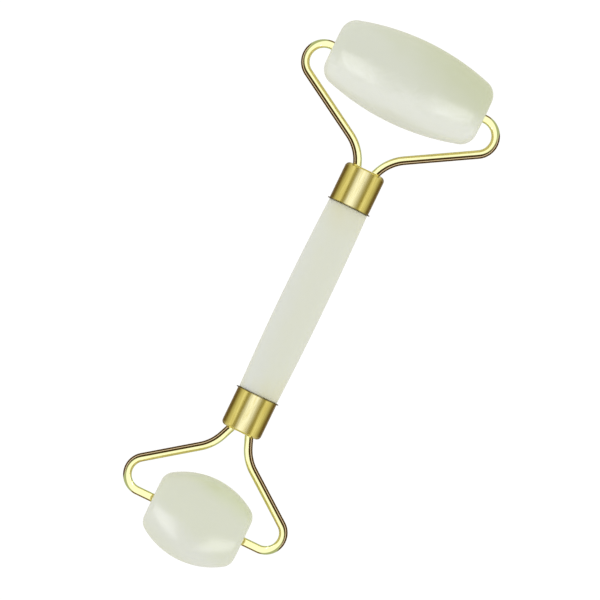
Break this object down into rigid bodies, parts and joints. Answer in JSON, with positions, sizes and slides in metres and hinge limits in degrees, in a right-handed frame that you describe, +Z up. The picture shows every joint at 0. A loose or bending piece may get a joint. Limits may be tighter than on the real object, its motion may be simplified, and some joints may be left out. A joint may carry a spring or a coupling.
{
  "type": "face roller",
  "caption": "Double-ended face roller: a stone handle with a bent wire yoke at each end, in which a barrel-shaped stone roller spins freely on the wire's pins.",
  "frame": {"origin": "centre of the tool's footprint, on the surface it lies on (z = 0 under both rollers)", "axes": "+Y along the handle towards the large roller, +X to the right along the roller axes, +Z up"},
  "size_m": [0.0544, 0.145, 0.0225],
  "materials": {
    "jade": "polished",
    "polished_gold": "polished",
    "satin_gold": "satin",
    "solder": "satin",
    "glue": "satin",
    "bush_plastic": "satin"
  },
  "bodies": {
    "frame": {"handle": "jade", "large_ferrule": "satin_gold", "large_yoke": "polished_gold", "large_solder": "solder", "large_glue": "glue", "small_ferrule": "satin_gold", "small_yoke": "polished_gold", "small_solder": "solder", "small_glue": "glue"},
    "large_roller": {"large_roller": "jade", "large_left_bush": "bush_plastic", "large_right_bush": "bush_plastic"},
    "small_roller": {"small_roller": "jade", "small_left_bush": "bush_plastic", "small_right_bush": "bush_plastic"}
  },
  "joints": [
    {"name": "large_roller_spin", "type": "hinge", "parent": "frame", "child": "large_roller", "pos_m": [0, 0.06125, 0.01125], "axis": [1, 0, 0], "continuous": true},
    {"name": "small_roller_spin", "type": "hinge", "parent": "frame", "child": "small_roller", "pos_m": [0, -0.06125, 0.01125], "axis": [1, 0, 0], "continuous": true}
  ]
}
